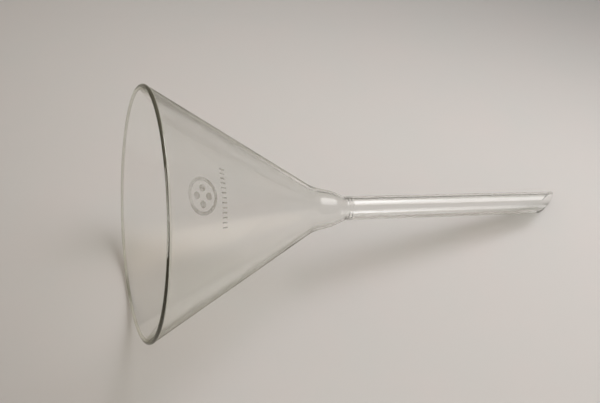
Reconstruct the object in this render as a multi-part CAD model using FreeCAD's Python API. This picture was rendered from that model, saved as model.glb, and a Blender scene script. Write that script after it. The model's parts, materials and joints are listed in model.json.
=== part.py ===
import FreeCAD, Part
import math
import os

from FreeCAD import Vector

# Laboratory filter funnel of clear glass: a 60 degree bowl with a melted rim, flame-sealed to a long
# straight stem whose tip is ground off at a slant. Two fired-on marks sit on the bowl's outside.
#
# The pieces are drawn about the X axis. Depth is the distance along +X from the mouth plane, and
# radius is the distance from the axis. Angles around the axis are counted from +Z towards +Y.
# At the end the funnel is tipped over to lie at rest on its rim and the tip of its stem.

# Bowl, in millimetres and degrees
RIM_RADIUS = 50.0
RIM_ROUND = 0.82
CONE_HALF_ANGLE = 30.0
BOWL_WALL = 1.4
SHOULDER_DEPTH = 71.0
SHOULDER_ROUND = 16.0
NECK_DEPTH = 80.0
NECK_RADIUS = 7.5
NECK_WALL = 1.3
NECK_BEND = 8.0
NECK_END = 86.2
NECK_ROUND = 3.0

# Seal between bowl and stem
SEAL_START = 86.9
RIPPLE_LENGTH = 1.4
RIPPLE_COUNT = 2
RIPPLE_OUTWARD = 0.12
RIPPLE_INWARD = 0.2

# Stem: its bevel plane crosses the axis at TIP_DEPTH, and its long side is turned to BEVEL_TURN
STEM_RADIUS = 5.0
BORE_RADIUS = 3.9
TIP_DEPTH = 190.5
BEVEL_ANGLE = 32.0
BEVEL_TURN = 107.0
TIP_ROUND = 0.25

# Fired-on marks, centred on one line of the bowl
MARK_TURN = -32.0
MARK_THICKNESS = 0.05
STENCIL_HEIGHT = 4.0
EMBLEM_DEPTH = 14.2
EMBLEM_RADIUS = 6.8
EMBLEM_RING_WIDTH = 1.3
EMBLEM_DOTS = 4
EMBLEM_DOT_RADIUS = 1.35
EMBLEM_DOT_REACH = 2.9
SIZE_MARK_DEPTH = 23.3
SIZE_MARK_BARS = 13
BAR_LENGTH = 2.4
BAR_WIDTH = 0.55
BAR_PITCH = 2.75

ORIGIN = Vector(0, 0, 0)
AXIS = Vector(1, 0, 0)
SLANT = Vector(math.cos(math.radians(CONE_HALF_ANGLE)), 0, -math.sin(math.radians(CONE_HALF_ANGLE)))
OUTWARD = Vector(math.sin(math.radians(CONE_HALF_ANGLE)), 0, math.cos(math.radians(CONE_HALF_ANGLE)))
RIM_CENTRE = Vector(RIM_ROUND, 0, RIM_RADIUS - RIM_ROUND)
SEAL_END = SEAL_START + RIPPLE_COUNT * RIPPLE_LENGTH


def at(depth, radius):
    """A point of a profile, in the plane that holds the axis and +Z."""
    return Vector(depth, 0, radius)


def cone_point(depth, offset):
    """The point at one depth on the bowl's straight wall, offset outwards from its middle."""
    start = RIM_CENTRE + OUTWARD * offset
    return start + SLANT * ((depth - start.x) / SLANT.x)


def rounded_line(points, rounds):
    """Edges through the points, with a tangent arc of the given radius at each inner point."""
    edges = []
    last = points[0]
    for before, corner, after, radius in zip(points, points[1:], points[2:], rounds):
        back = (before - corner).normalize()
        ahead = (after - corner).normalize()
        half_angle = back.getAngle(ahead) / 2
        reach = radius / math.tan(half_angle)
        middle = (back + ahead).normalize()
        start = corner + back * reach
        end = corner + ahead * reach
        crown = corner + middle * (radius / math.sin(half_angle) - radius)
        edges.append(Part.LineSegment(last, start).toShape())
        edges.append(Part.Arc(start, crown, end).toShape())
        last = end
    edges.append(Part.LineSegment(last, points[-1]).toShape())
    return edges


def ripple_line(radius, swell):
    """Arcs along the seal, one for each ripple, that stand off the radius by the swell."""
    edges = []
    for index in range(RIPPLE_COUNT):
        start = SEAL_START + index * RIPPLE_LENGTH
        crown = at(start + RIPPLE_LENGTH / 2, radius + swell)
        edges.append(Part.Arc(at(start, radius), crown, at(start + RIPPLE_LENGTH, radius)).toShape())
    return edges


def revolved(edges):
    """The solid that a closed profile sweeps around the axis."""
    wire = Part.Wire(Part.__sortEdges__(edges))
    return Part.Face(wire).revolve(ORIGIN, AXIS, 360)


def bowl_side(start, offset, neck_radius, end_radius):
    """One side of the bowl's wall: down the cone, round the shoulder and the neck, up to the seal."""
    corners = [
        start,
        cone_point(SHOULDER_DEPTH, offset),
        at(NECK_DEPTH, neck_radius),
        at(NECK_END, end_radius),
        at(SEAL_START, end_radius),
    ]
    return rounded_line(corners, [SHOULDER_ROUND, NECK_BEND, NECK_ROUND])


def make_bowl():
    """The cone with its rounded rim, its shoulder and the neck that narrows to the stem's size."""
    half_wall = BOWL_WALL / 2
    rim_reach = math.sqrt(RIM_ROUND ** 2 - half_wall ** 2)
    outer_start = RIM_CENTRE + OUTWARD * half_wall + SLANT * rim_reach
    inner_start = RIM_CENTRE - OUTWARD * half_wall + SLANT * rim_reach
    rim = Part.Arc(outer_start, RIM_CENTRE - SLANT * RIM_ROUND, inner_start).toShape()
    outside = bowl_side(outer_start, half_wall, NECK_RADIUS, STEM_RADIUS)
    inside = bowl_side(inner_start, -half_wall, NECK_RADIUS - NECK_WALL, BORE_RADIUS)
    end = Part.LineSegment(at(SEAL_START, STEM_RADIUS), at(SEAL_START, BORE_RADIUS)).toShape()
    return revolved([rim, *outside, *inside, end])


def make_seal():
    """The ring of glass where bowl and stem were melted together."""
    ends = [
        Part.LineSegment(at(depth, STEM_RADIUS), at(depth, BORE_RADIUS)).toShape()
        for depth in (SEAL_START, SEAL_END)
    ]
    outside = ripple_line(STEM_RADIUS, RIPPLE_OUTWARD)
    inside = ripple_line(BORE_RADIUS, -RIPPLE_INWARD)
    return revolved([*ends, *outside, *inside])


def bevel_normal():
    """The direction that the ground face at the stem's tip looks in."""
    bevel = math.radians(BEVEL_ANGLE)
    turn = math.radians(BEVEL_TURN)
    long_side = Vector(0, math.sin(turn), math.cos(turn))
    return AXIS * math.sin(bevel) - long_side * math.cos(bevel)


def make_stem():
    """The tube below the seal, cut off at a slant, with both edges of the cut rounded by the flame."""
    bevel_reach = STEM_RADIUS / math.tan(math.radians(BEVEL_ANGLE))
    length = TIP_DEPTH + bevel_reach + STEM_RADIUS - SEAL_END
    tube = Part.makeCylinder(STEM_RADIUS, length, at(SEAL_END, 0), AXIS)
    bore = Part.makeCylinder(BORE_RADIUS, length, at(SEAL_END, 0), AXIS)
    waste = Part.makeCylinder(length, length, at(TIP_DEPTH, 0), bevel_normal())
    stem = tube.cut(bore).cut(waste)
    cut_edges = [
        edge for edge in stem.Edges
        if abs((edge.CenterOfMass - at(TIP_DEPTH, 0)).dot(bevel_normal())) < TIP_ROUND / 10
        and edge.CenterOfMass.x > SEAL_END + STEM_RADIUS
    ]
    return stem.makeFillet(TIP_ROUND, cut_edges)


def mark_skin():
    """A skin over the bowl's straight wall, as thick as the fired-on enamel."""
    first = EMBLEM_DEPTH - 2 * EMBLEM_RADIUS
    last = SIZE_MARK_DEPTH + 2 * BAR_LENGTH
    half_wall = BOWL_WALL / 2
    corners = [
        cone_point(first, half_wall),
        cone_point(last, half_wall),
        cone_point(last, half_wall + MARK_THICKNESS),
        cone_point(first, half_wall + MARK_THICKNESS),
    ]
    return Part.Face(Part.makePolygon([*corners, corners[0]])).revolve(ORIGIN, AXIS, 360)


def on_bowl(shape, depth, turn):
    """Move a shape made at the origin, with +Z outwards, to a point on the bowl's outside."""
    placed = shape.copy()
    placed.rotate(ORIGIN, Vector(0, 1, 0), CONE_HALF_ANGLE)
    placed.translate(cone_point(depth, BOWL_WALL / 2))
    placed.rotate(ORIGIN, AXIS, -turn)
    return placed


def stencil_disc(radius, x=0.0, y=0.0):
    """A short upright cylinder around (x, y), which cuts a round mark out of the skin."""
    return Part.makeCylinder(radius, STENCIL_HEIGHT, Vector(x, y, -STENCIL_HEIGHT / 2))


def make_emblem(skin):
    """A plain ring around a square of round dots."""
    stencils = [stencil_disc(EMBLEM_RADIUS).cut(stencil_disc(EMBLEM_RADIUS - EMBLEM_RING_WIDTH))]
    for index in range(EMBLEM_DOTS):
        angle = 2 * math.pi * index / EMBLEM_DOTS
        reach = (EMBLEM_DOT_REACH * math.cos(angle), EMBLEM_DOT_REACH * math.sin(angle))
        stencils.append(stencil_disc(EMBLEM_DOT_RADIUS, *reach))
    return Part.makeCompound([skin.common(on_bowl(s, EMBLEM_DEPTH, MARK_TURN)) for s in stencils])


def make_size_mark(skin):
    """A row of short plain bars around the bowl."""
    corner = Vector(-BAR_LENGTH / 2, -BAR_WIDTH / 2, -STENCIL_HEIGHT / 2)
    stencil = Part.makeBox(BAR_LENGTH, BAR_WIDTH, STENCIL_HEIGHT, corner)
    bars = []
    for index in range(SIZE_MARK_BARS):
        turn = MARK_TURN + (index - (SIZE_MARK_BARS - 1) / 2) * BAR_PITCH
        bars.append(skin.common(on_bowl(stencil, SIZE_MARK_DEPTH, turn)))
    return Part.makeCompound(bars)


def rest_gap(tilt):
    """How much lower the stem's tip hangs than the rim when the axis is tipped by the tilt."""
    sine = math.sin(tilt)
    cosine = math.cos(tilt)
    turn = math.radians(BEVEL_TURN)
    reach = STEM_RADIUS / math.tan(math.radians(BEVEL_ANGLE))
    rim_drop = RIM_CENTRE.x * sine + RIM_CENTRE.z * cosine + RIM_ROUND
    tip_drop = TIP_DEPTH * sine + math.hypot(
        STEM_RADIUS * cosine - reach * sine * math.cos(turn), reach * sine * math.sin(turn)
    )
    return tip_drop - rim_drop


def rest_tilt():
    """The tilt of the axis at which rim and tip touch the bench together, in radians."""
    low = 0.0
    high = math.pi / 4
    while high - low > 1e-9:
        middle = (low + high) / 2
        if rest_gap(middle) < 0:
            low = middle
        else:
            high = middle
    return low


def laid_down(shapes):
    """Tip the pieces over to their rest, bench at z = 0 and the origin below the middle of the box."""
    tilt = math.degrees(rest_tilt())
    for shape in shapes.values():
        shape.rotate(ORIGIN, Vector(0, 1, 0), tilt)
    box = Part.makeCompound(list(shapes.values())).optimalBoundingBox(False, False)
    for shape in shapes.values():
        shape.translate(Vector(-box.Center.x, -box.Center.y, -box.ZMin))
    return tilt, box


def main():
    os.makedirs("parts", exist_ok=True)
    skin = mark_skin()
    shapes = {
        "bowl": make_bowl(),
        "seal": make_seal(),
        "stem": make_stem(),
        "emblem": make_emblem(skin),
        "size_mark": make_size_mark(skin),
    }
    tilt, box = laid_down(shapes)
    print(f"axis tilt {tilt:.4f} degrees, mouth centre at x {-box.Center.x:.4f}, z {-box.ZMin:.4f} mm")
    for name, shape in shapes.items():
        shape.exportStep(f"parts/{name}.step")
        print(f"{name}: valid {shape.isValid()}, {len(shape.Solids)} solids, {shape.Volume:.2f} mm3")


main()
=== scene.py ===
import json
import math

import bpy
from mathutils import Matrix, Vector


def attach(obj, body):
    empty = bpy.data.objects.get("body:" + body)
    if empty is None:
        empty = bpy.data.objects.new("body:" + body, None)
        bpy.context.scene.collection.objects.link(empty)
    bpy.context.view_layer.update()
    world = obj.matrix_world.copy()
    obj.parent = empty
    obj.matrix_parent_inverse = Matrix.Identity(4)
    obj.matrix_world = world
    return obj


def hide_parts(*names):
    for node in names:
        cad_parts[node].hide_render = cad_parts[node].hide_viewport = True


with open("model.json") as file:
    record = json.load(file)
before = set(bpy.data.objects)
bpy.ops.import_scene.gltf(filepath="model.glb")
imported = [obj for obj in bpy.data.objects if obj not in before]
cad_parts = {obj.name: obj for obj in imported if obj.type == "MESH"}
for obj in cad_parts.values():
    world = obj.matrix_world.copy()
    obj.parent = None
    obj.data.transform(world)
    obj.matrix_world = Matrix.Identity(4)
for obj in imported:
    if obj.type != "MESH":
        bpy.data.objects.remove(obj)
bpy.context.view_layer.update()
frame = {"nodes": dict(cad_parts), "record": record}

# A clear glass filter funnel at rest on a pale bench. Everything is in metres in the part's frame.
# Depth is the distance along the funnel's axis from its mouth, and radius is the distance from it.
MM = 0.001
mounts = {mount["name"]: mount for mount in frame["record"]["mounts"]}
CONE_SEAT_DEPTH = 45.0 * MM
AXIS = Vector(mounts["cone_seat"]["axis"]).normalized()
MOUTH = Vector(mounts["cone_seat"]["pos_m"]) - AXIS * CONE_SEAT_DEPTH
SIDE = Vector((0, 1, 0))
UP = AXIS.cross(SIDE)

# Bowl
RIM_RADIUS = 50.0 * MM
RIM_ROUND = 0.82 * MM
CONE_ANGLE = math.radians(30.0)
BOWL_WALL = 1.4 * MM
SHOULDER_DEPTH = 71.0 * MM
SHOULDER_ROUND = 16.0 * MM
NECK_DEPTH = 80.0 * MM
NECK_RADIUS = 7.5 * MM
NECK_WALL = 1.3 * MM
NECK_BEND = 8.0 * MM
NECK_END = 86.2 * MM
NECK_ROUND = 3.0 * MM

# Seal
SEAL_START = 86.9 * MM
RIPPLE_LENGTH = 1.4 * MM
RIPPLE_COUNT = 2
RIPPLE_OUTWARD = 0.12 * MM
RIPPLE_INWARD = 0.2 * MM
SEAL_END = SEAL_START + RIPPLE_COUNT * RIPPLE_LENGTH

# Stem: the last stretch of it, BEVEL_REACH before the tip's middle, has rings that lean to the bevel
STEM_RADIUS = mounts["stem_outside"]["dims"]["r_mm"] * MM
BORE_RADIUS = mounts["stem_bore"]["dims"]["r_mm"] * MM
TIP_DEPTH = 190.5 * MM
BEVEL_ANGLE = math.radians(32.0)
BEVEL_TURN = math.radians(107.0)
BEVEL_REACH = 12.0 * MM
TIP_ROUND = 0.25 * MM

# How finely the glass is meshed, and the unseen slits that keep fused pieces from sharing a surface
TURNS = 256
RIM_STEPS = 32
BEND_STEPS = 12
RIPPLE_STEPS = 8
TIP_STEPS = 6
LEVEL_RINGS = 32
LEANING_RINGS = 6
LONGEST_STEP = 3 * MM
SHORT_STEP = 0.1 * MM
SHARP_EDGE = math.radians(50)
SLIT = 0.005 * MM

# How the blown inner wall wanders from a true cone: slow waves that fade out before rim and seal,
# each given by its crests round the axis, its radians along each metre of depth, and its start
WAVE_HEIGHT = 0.045 * MM
WAVES = ((3, 0, 1.1), (7, -95, 0), (13, 210, 0), (2, 330, 0), (-5, 520, 0))
WAVE_START = 3 * MM
WAVE_FADE = 12 * MM

# Glass. Each tint runs from the glass seen head on, at 0, to edge on, at 1. "seen" is the tint in view;
# it darkens towards edge on as painted shade, standing in for the dark room seen in the glass at its
# edges.
# "lit" is the tint of light that comes through to the bench, and the last number is the share of a
# lamp-lit matt colour mixed into the glass, painted light in place of the light that real glass carries
# round the rim and lets out there. From NECK_GLASS on, the bowl's glass looks like the stem's.
GLASS_IOR = 1.474
# Colour of the matt share: painted light on the rim, in place of the light that real glass carries
# round it and lets out there
PAINTED_RIM_LIGHT_COLOR = (0.66, 0.63, 0.47)
NECK_GLASS = NECK_END - 6 * MM
GLASSES = {
    "wall_glass": {
        "seen": (
            (0.0, (0.997, 0.998, 0.995)),
            (0.72, (0.982, 0.985, 0.976)),
            (0.78, (0.83, 0.83, 0.79)),
            (0.95, (0.55, 0.55, 0.5)),
        ),
        "lit": (
            (0.0, (0.985, 0.985, 0.98)),
            (0.5, (0.955, 0.955, 0.945)),
            (1.0, (0.4, 0.4, 0.38)),
        ),
        "painted_light_share": 0.0,
    },
    "stem_glass": {
        "seen": (
            (0.0, (0.998, 0.999, 0.997)),
            (0.78, (0.99, 0.992, 0.985)),
            (0.95, (0.5, 0.5, 0.47)),
        ),
        "lit": (
            (0.0, (0.91, 0.91, 0.9)),
            (0.5, (0.79, 0.79, 0.77)),
            (1.0, (0.4, 0.4, 0.38)),
        ),
        "painted_light_share": 0.0,
    },
    "rim_glass": {
        "seen": (
            (0.0, (0.99, 0.995, 0.98)),
            (0.7, (0.98, 0.985, 0.955)),
            (0.95, (0.75, 0.76, 0.7)),
        ),
        "lit": (
            (0.0, (0.5, 0.5, 0.48)),
            (0.5, (0.3, 0.3, 0.28)),
            (1.0, (0.15, 0.15, 0.14)),
        ),
        "painted_light_share": 0.17,
    },
}

# Enamel of the marks: two tones, and how far it covers the glass where it is worn and where whole
ENAMEL_TONES = ((0.35, (0.36, 0.335, 0.285)), (0.65, (0.5, 0.47, 0.41)))
ENAMEL_COVER = (0.12, 0.6)
ENAMEL_BLOTCHES = 160.0

# Bench: its two tones, and the dimmer tone painted on it far from the funnel, painted shade that leaves
# a painted pool of light in front of the funnel. The pale part is an ellipse, longer one way, with a
# soft edge from the inner to the outer size.
BENCH_HALF_WIDTH = 40.0
BENCH_DROP = 0.1 * MM
BENCH_TONES = ((0.3, (0.8, 0.79, 0.775)), (0.7, (0.825, 0.79, 0.775)))
BENCH_PAINTED_SHADE = (0.3, 0.292, 0.284)
BENCH_BLOTCHES = 25.0
LIGHT_POOL_CENTRE = (0.37, -0.43, 0)
LIGHT_POOL_TURN = math.radians(42)
LIGHT_POOL_STRETCH = 3.4
LIGHT_POOL_INNER = 0.166
LIGHT_POOL_OUTER = 0.345

# Room: its colour at the level of the bench and straight above
ROOM_TONES = ((0.0, (0.17, 0.16, 0.143)), (1.0, (0.26, 0.235, 0.2)))

# Camera: the spot on the bench that it looks at, and where it stands from there
CAMERA_TARGET = Vector((-0.01672, 0.03061, 0))
CAMERA_AZIMUTH = math.radians(-17.65)
CAMERA_ELEVATION = math.radians(50.72)
CAMERA_ROLL = math.radians(3.78)
CAMERA_DISTANCE = 0.37969
CAMERA_LENS = 48.0
CAMERA_SENSOR = 36.0


def place(depth, radius, turn):
    """The point at this depth and radius, turned about the axis from up towards +Y."""
    return MOUTH + AXIS * depth + (UP * math.cos(turn) + SIDE * math.sin(turn)) * radius


def arc(centre, radius, first, last, steps):
    """Points of an arc in the profile plane, between two angles."""
    return [
        Vector((
            centre.x + radius * math.cos(first + (last - first) * i / steps),
            centre.y + radius * math.sin(first + (last - first) * i / steps),
        ))
        for i in range(steps + 1)
    ]


def rounded_line(points, rounds, steps):
    """The points with each inner corner replaced by a tangent arc."""
    line = [points[0]]
    for before, corner, after, radius in zip(points, points[1:], points[2:], rounds):
        back = (before - corner).normalized()
        ahead = (after - corner).normalized()
        half_angle = back.angle(ahead) / 2
        centre = corner + (back + ahead).normalized() * (radius / math.sin(half_angle))
        start = corner + back * (radius / math.tan(half_angle)) - centre
        end = corner + ahead * (radius / math.tan(half_angle)) - centre
        first = math.atan2(start.y, start.x)
        last = first + math.remainder(math.atan2(end.y, end.x) - first, 2 * math.pi)
        line += arc(centre, radius, first, last, steps)
    return [*line, points[-1]]


def divided(points):
    """The line with its long stretches cut up: short at both ends, so that shading bends only there."""
    line = [points[0]]
    for start, end in zip(points, points[1:]):
        length = (end - start).length
        if length > 4 * SHORT_STEP:
            first = start.lerp(end, SHORT_STEP / length)
            last = end.lerp(start, SHORT_STEP / length)
            count = math.ceil(length / LONGEST_STEP)
            line += [first.lerp(last, i / count) for i in range(count + 1)]
        line.append(end)
    return line


def turned(name, profile, kinds):
    """A closed mesh swept round the axis.

    profile(turn) gives the section's loop of (depth, radius), and kinds the material of each step
    of that loop.
    """
    rings = [profile(2 * math.pi * i / TURNS) for i in range(TURNS)]
    count = len(rings[0])
    verts = [place(p.x, p.y, 2 * math.pi * i / TURNS) for i, ring in enumerate(rings) for p in ring]
    faces = []
    for i in range(TURNS):
        here = i * count
        there = (i + 1) % TURNS * count
        for j in range(count):
            k = (j + 1) % count
            faces.append((here + j, there + j, there + k, here + k))
    mesh = bpy.data.meshes.new(name)
    mesh.from_pydata(verts, [], faces)
    mesh.polygons.foreach_set("use_smooth", [True] * len(faces))
    mesh.set_sharp_from_angle(angle=SHARP_EDGE)
    used = list(dict.fromkeys(kinds))
    for kind in used:
        mesh.materials.append(bpy.data.materials[kind])
    mesh.polygons.foreach_set("material_index", [used.index(kind) for kind in kinds] * TURNS)
    mesh.update()
    piece = bpy.data.objects.new(name, mesh)
    bpy.context.scene.collection.objects.link(piece)
    return piece


def cone_point(depth, offset):
    """The point of the bowl's straight wall at this depth, offset outwards from its middle."""
    slope = math.tan(CONE_ANGLE)
    middle = RIM_RADIUS - RIM_ROUND - (depth - RIM_ROUND) * slope
    return Vector((depth, middle + offset / math.cos(CONE_ANGLE)))


def waviness(depth, turn):
    """How far the blown inner wall stands off its true shape at one place."""
    total = sum(math.sin(around * turn + along * depth + start) for around, along, start in WAVES)
    after_rim = min(1, max(0, (depth - WAVE_START) / WAVE_FADE))
    before_seal = min(1, max(0, (SEAL_START - depth) / WAVE_FADE))
    return WAVE_HEIGHT * after_rim * before_seal * total / len(WAVES)


def wall_kinds(line):
    """The glass of each step along one side of the bowl, by the depth where the step starts."""
    return ["wall_glass" if point.x < NECK_GLASS else "stem_glass" for point in line[:-1]]


def bowl_side(start, offset, neck_radius, end_radius):
    """One side of the bowl's wall: down the cone, round the shoulder and the neck, up to the seal."""
    corners = [
        start,
        cone_point(SHOULDER_DEPTH, offset),
        Vector((NECK_DEPTH, neck_radius)),
        Vector((NECK_END, end_radius)),
        Vector((SEAL_START - SLIT, end_radius)),
    ]
    return divided(rounded_line(corners, [SHOULDER_ROUND, NECK_BEND, NECK_ROUND], BEND_STEPS))


def make_bowl():
    """The cone with its melted rim, its shoulder and its neck."""
    half_wall = BOWL_WALL / 2
    centre = Vector((RIM_ROUND, RIM_RADIUS - RIM_ROUND))
    reach = math.asin(half_wall / RIM_ROUND)
    rim = arc(centre, RIM_ROUND, reach - CONE_ANGLE, 2 * math.pi - reach - CONE_ANGLE, RIM_STEPS)
    outside = bowl_side(rim[0], half_wall, NECK_RADIUS, STEM_RADIUS)
    inside = bowl_side(rim[-1], -half_wall, NECK_RADIUS - NECK_WALL, BORE_RADIUS)

    def profile(turn):
        waved = [Vector((p.x, p.y + waviness(p.x, turn))) for p in inside]
        return [*rim[1:-1], *waved, *reversed(outside)]

    kinds = [
        *["rim_glass"] * (len(rim) - 2),
        *wall_kinds(inside),
        "joined_glass",
        *reversed(wall_kinds(outside)),
        "rim_glass",
    ]
    return turned("bowl_glass", profile, kinds)


def ripple(radius, swell):
    """The seal's surface: one gentle swell after the other."""
    count = RIPPLE_COUNT * RIPPLE_STEPS
    start = SEAL_START + SLIT
    length = SEAL_END - SLIT - start
    return [
        Vector((start + length * i / count, radius + swell * math.sin(math.pi * i / RIPPLE_STEPS) ** 2))
        for i in range(count + 1)
    ]


def make_seal():
    """The rippled ring where bowl and stem were melted together."""
    inside = ripple(BORE_RADIUS, -RIPPLE_INWARD)
    outside = ripple(STEM_RADIUS, RIPPLE_OUTWARD)
    walls = ["stem_glass"] * (len(inside) - 1)
    kinds = [*walls, "joined_glass", *walls, "joined_glass"]
    return turned("seal_glass", lambda turn: [*inside, *reversed(outside)], kinds)


def stem_wall(start, end):
    """One wall of the stem, up to its end: level rings first, then rings that lean more and more."""
    level_end = TIP_DEPTH - BEVEL_REACH
    last = end.x - SHORT_STEP
    depths = [start, start + SHORT_STEP]
    depths += [start + (level_end - start) * i / LEVEL_RINGS for i in range(1, LEVEL_RINGS + 1)]
    depths += [level_end + (last - level_end) * i / LEANING_RINGS for i in range(1, LEANING_RINGS + 1)]
    return [Vector((depth, end.y)) for depth in (*depths, end.x)]


def stem_profile(turn):
    """The stem's section at one turn: two straight walls and the rounded, slanted end."""
    lean = math.cos(turn - BEVEL_TURN) / math.tan(BEVEL_ANGLE)
    start = SEAL_END + SLIT
    corners = [
        Vector((start, BORE_RADIUS)),
        Vector((TIP_DEPTH + BORE_RADIUS * lean, BORE_RADIUS)),
        Vector((TIP_DEPTH + STEM_RADIUS * lean, STEM_RADIUS)),
        Vector((start, STEM_RADIUS)),
    ]
    tip = rounded_line(corners, [TIP_ROUND, TIP_ROUND], TIP_STEPS)
    return [*stem_wall(start, tip[1]), *tip[2:-2], *reversed(stem_wall(start, tip[-2]))]


def make_stem():
    """The long tube with its slanted tip."""
    kinds = ["stem_glass"] * (len(stem_profile(0)) - 1)
    return turned("stem_glass", stem_profile, [*kinds, "joined_glass"])


def node(tree, kind, **settings):
    """A new shader node with these settings."""
    made = tree.nodes.new(kind)
    for key, value in settings.items():
        setattr(made, key, value)
    return made


def new_material(name):
    """An empty node material, and its tree."""
    material = bpy.data.materials.new(name)
    material.use_nodes = True
    material.node_tree.nodes.clear()
    return material, material.node_tree


def color_ramp(tree, value, colors):
    """The colour at a value, from (position, colour) pairs in order."""
    ramp = node(tree, "ShaderNodeValToRGB")
    stops = ramp.color_ramp.elements
    for stop, (position, color) in ((stops[0], colors[0]), (stops[1], colors[-1])):
        stop.position = position
        stop.color = (*color, 1)
    for position, color in colors[1:-1]:
        stops.new(position).color = (*color, 1)
    tree.links.new(value, ramp.inputs["Fac"])
    return ramp.outputs["Color"]


def map_range(tree, value, source, target, **settings):
    """The value carried over from one range to another."""
    made = node(tree, "ShaderNodeMapRange", **settings)
    for name, end in zip(("From Min", "From Max", "To Min", "To Max"), (*source, *target)):
        made.inputs[name].default_value = end
    tree.links.new(value, made.inputs["Value"])
    return made.outputs["Result"]


def blotches(tree, where, scale, detail):
    """Soft random blotches over a surface."""
    noise = node(tree, "ShaderNodeTexNoise")
    noise.inputs["Scale"].default_value = scale
    noise.inputs["Detail"].default_value = detail
    tree.links.new(where, noise.inputs["Vector"])
    return noise.outputs["Fac"]


def by_slant(tree, colors):
    """A colour that goes from the first, seen head on, to the last, seen edge on."""
    weight = node(tree, "ShaderNodeLayerWeight")
    weight.inputs["Blend"].default_value = 0.5
    return color_ramp(tree, weight.outputs["Facing"], colors)


def with_painted_light(tree, shader, share):
    """The shader with a share of it made matt: painted light in place of the light glass lets out at
    its rim.
    """
    stand_in_light = node(tree, "ShaderNodeBsdfDiffuse")
    stand_in_light.inputs["Color"].default_value = (*PAINTED_RIM_LIGHT_COLOR, 1)
    mix = node(tree, "ShaderNodeMixShader")
    mix.inputs["Fac"].default_value = share
    tree.links.new(shader, mix.inputs[1])
    tree.links.new(stand_in_light.outputs["BSDF"], mix.inputs[2])
    return mix.outputs["Shader"]


def glass_material(name, seen, lit, painted_light_share):
    """Lab glass that refracts in view, and lets light through to the bench as a plain tint."""
    _, tree = new_material(name)
    link = tree.links.new
    out = node(tree, "ShaderNodeOutputMaterial")
    glass = node(tree, "ShaderNodeBsdfGlass")
    glass.inputs["IOR"].default_value = GLASS_IOR
    glass.inputs["Roughness"].default_value = 0.0
    # painted shade: the glass is tinted darker where seen edge on, standing in for the dark room seen
    # at its edges
    link(by_slant(tree, seen), glass.inputs["Color"])
    # painted light: on the rim, a share of matt colour lightens the glass
    shader = with_painted_light(tree, glass.outputs["BSDF"], painted_light_share) if painted_light_share else glass.outputs["BSDF"]
    clear = node(tree, "ShaderNodeBsdfTransparent")
    link(by_slant(tree, lit), clear.inputs["Color"])
    path = node(tree, "ShaderNodeLightPath")
    for ray in ("Is Shadow Ray", "Is Diffuse Ray"):
        mix = node(tree, "ShaderNodeMixShader")
        link(path.outputs[ray], mix.inputs["Fac"])
        link(shader, mix.inputs[1])
        link(clear.outputs["BSDF"], mix.inputs[2])
        shader = mix.outputs["Shader"]
    link(shader, out.inputs["Surface"])


def joined_material():
    """The face where one fused piece goes over into the next: nothing to see."""
    _, tree = new_material("joined_glass")
    out = node(tree, "ShaderNodeOutputMaterial")
    clear = node(tree, "ShaderNodeBsdfTransparent")
    tree.links.new(clear.outputs["BSDF"], out.inputs["Surface"])


def enamel_material():
    """Thin fired-on enamel: warm grey, matt, see-through and a little worn."""
    material, tree = new_material("worn_enamel")
    link = tree.links.new
    out = node(tree, "ShaderNodeOutputMaterial")
    enamel = node(tree, "ShaderNodeBsdfPrincipled")
    enamel.inputs["Roughness"].default_value = 0.6
    where = node(tree, "ShaderNodeTexCoord").outputs["Object"]
    worn = blotches(tree, where, ENAMEL_BLOTCHES, detail=3.0)
    link(color_ramp(tree, worn, ENAMEL_TONES), enamel.inputs["Base Color"])
    link(map_range(tree, worn, (0.3, 0.7), ENAMEL_COVER), enamel.inputs["Alpha"])
    link(enamel.outputs["BSDF"], out.inputs["Surface"])
    return material


def painted_light_pool(tree, where):
    """How far a place on the bench is out of the painted pool of light: 0 inside it and 1 well outside.
    """
    pool = node(tree, "ShaderNodeMapping", vector_type="TEXTURE")
    pool.inputs["Location"].default_value = LIGHT_POOL_CENTRE
    pool.inputs["Rotation"].default_value = (0, 0, LIGHT_POOL_TURN)
    pool.inputs["Scale"].default_value = (1, LIGHT_POOL_STRETCH, 1)
    far = node(tree, "ShaderNodeVectorMath", operation="LENGTH")
    tree.links.new(where, pool.inputs["Vector"])
    tree.links.new(pool.outputs["Vector"], far.inputs[0])
    edge = (LIGHT_POOL_INNER, LIGHT_POOL_OUTER)
    return map_range(tree, far.outputs["Value"], edge, (0.0, 1.0), interpolation_type="SMOOTHSTEP")


def bench_material():
    """A pale bench top, warm and slightly mottled, with painted shade that dims it away from the
    funnel.
    """
    material, tree = new_material("bench_top")
    link = tree.links.new
    out = node(tree, "ShaderNodeOutputMaterial")
    top = node(tree, "ShaderNodeBsdfPrincipled")
    top.inputs["Roughness"].default_value = 0.7
    top.inputs["Specular IOR Level"].default_value = 0.2
    where = node(tree, "ShaderNodeTexCoord").outputs["Object"]
    mottle = blotches(tree, where, BENCH_BLOTCHES, detail=4.0)
    # painted shade: the bench's colour goes to the dim tone outside the painted pool of light
    shade = node(tree, "ShaderNodeMix", data_type="RGBA")
    shade.inputs["B"].default_value = (*BENCH_PAINTED_SHADE, 1)
    link(painted_light_pool(tree, where), shade.inputs["Factor"])
    link(color_ramp(tree, mottle, BENCH_TONES), shade.inputs["A"])
    link(shade.outputs["Result"], top.inputs["Base Color"])
    link(top.outputs["BSDF"], out.inputs["Surface"])
    return material


def make_floor():
    """The bench top, a hair below the funnel."""
    corners = [
        (x * BENCH_HALF_WIDTH, y * BENCH_HALF_WIDTH, -BENCH_DROP)
        for x, y in ((-1, -1), (1, -1), (1, 1), (-1, 1))
    ]
    mesh = bpy.data.meshes.new("bench")
    mesh.from_pydata(corners, [], [(0, 1, 2, 3)])
    mesh.materials.append(bench_material())
    floor = bpy.data.objects.new("bench", mesh)
    bpy.context.scene.collection.objects.link(floor)


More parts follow.
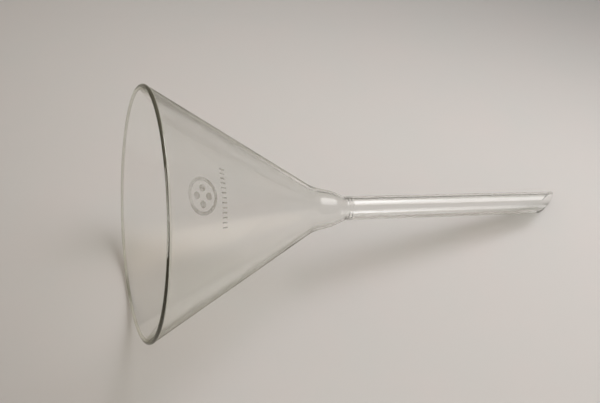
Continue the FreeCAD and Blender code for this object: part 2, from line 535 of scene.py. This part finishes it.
def fade_to_edge(data, core):
    """Make an area lamp brightest over its core, as a share of its width, and dark at its edge."""
    data.use_nodes = True
    tree = data.node_tree
    tree.nodes.clear()
    link = tree.links.new
    out = node(tree, "ShaderNodeOutputLight")
    glow = node(tree, "ShaderNodeEmission")
    across = node(tree, "ShaderNodeNewGeometry")
    off_centre = node(tree, "ShaderNodeVectorMath", operation="DISTANCE")
    off_centre.inputs[1].default_value = (0.5, 0.5, 0)
    link(across.outputs["Parametric"], off_centre.inputs[0])
    distance = off_centre.outputs["Value"]
    fade = map_range(tree, distance, (core / 2, 0.5), (1.0, 0.0), interpolation_type="SMOOTHSTEP")
    link(fade, glow.inputs["Strength"])
    link(glow.outputs["Emission"], out.inputs["Surface"])


def make_lamp(name, azimuth, elevation, distance, size, core, watts, color):
    """A soft light, seen from the bench at these degrees from +X towards +Y and above it."""
    data = bpy.data.lights.new(name, "AREA")
    data.shape = "SQUARE"
    data.size = size
    data.energy = watts
    data.color = color
    fade_to_edge(data, core)
    lamp = bpy.data.objects.new(name, data)
    turn = math.radians(azimuth)
    height = math.radians(elevation)
    level = math.cos(height)
    towards = Vector((math.cos(turn) * level, math.sin(turn) * level, math.sin(height)))
    lamp.location = towards * distance
    lamp.rotation_mode = "QUATERNION"
    lamp.rotation_quaternion = towards.to_track_quat("Z", "Y")
    bpy.context.scene.collection.objects.link(lamp)


def make_world():
    """A dim warm room: dark at the level of the bench, lighter above."""
    world = bpy.data.worlds.new("studio")
    bpy.context.scene.world = world
    world.use_nodes = True
    tree = world.node_tree
    tree.nodes.clear()
    link = tree.links.new
    out = node(tree, "ShaderNodeOutputWorld")
    back = node(tree, "ShaderNodeBackground")
    direction = node(tree, "ShaderNodeTexCoord")
    split = node(tree, "ShaderNodeSeparateXYZ")
    link(direction.outputs["Generated"], split.inputs["Vector"])
    link(color_ramp(tree, split.outputs["Z"], ROOM_TONES), back.inputs["Color"])
    link(back.outputs["Background"], out.inputs["Surface"])


def make_camera():
    """A normal lens above the bench, in front of the bowl, rolled a little."""
    level = math.cos(CAMERA_ELEVATION)
    back = Vector((
        math.sin(CAMERA_AZIMUTH) * level,
        -math.cos(CAMERA_AZIMUTH) * level,
        math.sin(CAMERA_ELEVATION),
    ))
    right = Vector((math.cos(CAMERA_AZIMUTH), math.sin(CAMERA_AZIMUTH), 0))
    upright = Matrix((right, back.cross(right), back)).transposed()
    data = bpy.data.cameras.new("camera")
    data.lens = CAMERA_LENS
    data.sensor_width = CAMERA_SENSOR
    camera = bpy.data.objects.new("camera", data)
    camera.rotation_mode = "QUATERNION"
    camera.rotation_quaternion = (upright @ Matrix.Rotation(CAMERA_ROLL, 3, "Z")).to_quaternion()
    camera.location = CAMERA_TARGET + back * CAMERA_DISTANCE
    bpy.context.scene.collection.objects.link(camera)
    bpy.context.scene.camera = camera


make_camera()
make_world()
make_floor()
make_lamp("window", 14, 45, distance=1.0, size=0.95, core=0.6, watts=7.2, color=(1.0, 0.99, 1.0))
make_lamp("window_core", 35, 53, distance=0.98, size=0.66, core=0.3, watts=7.4, color=(0.98, 0.98, 1.0))
make_lamp("fill", 172, 55, distance=1.0, size=1.1, core=0.1, watts=3.9, color=(1.0, 0.86, 0.68))

for name, look in GLASSES.items():
    glass_material(name, **look)
joined_material()
for piece, stands_for in ((make_bowl(), "bowl"), (make_seal(), "seal"), (make_stem(), "stem")):
    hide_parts(stands_for)
    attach(piece, "root")

enamel = enamel_material()
for name in ("emblem", "size_mark"):
    frame["nodes"][name].material_slots[0].material = enamel

bpy.context.scene.view_settings.view_transform = "Standard"
